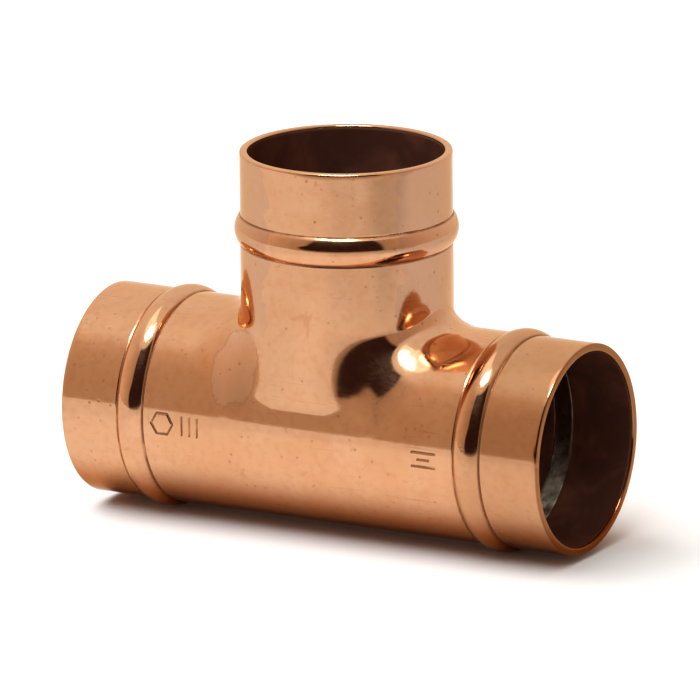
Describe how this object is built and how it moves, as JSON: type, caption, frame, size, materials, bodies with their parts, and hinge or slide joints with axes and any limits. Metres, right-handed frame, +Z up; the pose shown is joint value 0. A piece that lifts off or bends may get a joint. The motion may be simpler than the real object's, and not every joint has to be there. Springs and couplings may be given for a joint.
{
  "type": "solder ring equal tee",
  "caption": "Equal pipe tee of pressed copper with a rolled bead and a captive solder ring at each socket, for joining three tubes by heating.",
  "frame": {"origin": "on the branch axis, level with the lowest point of the beads on the run", "axes": "+X along the run towards its right mouth, +Z up along the branch towards its mouth, -Y is the stamped front"},
  "size_m": [0.149, 0.0618, 0.1069],
  "materials": {
    "copper": null,
    "solder": null
  },
  "bodies": {
    "root": {"tee_body": "copper", "solder_ring_left": "solder", "solder_ring_right": "solder", "solder_ring_branch": "solder"}
  },
  "joints": []
}
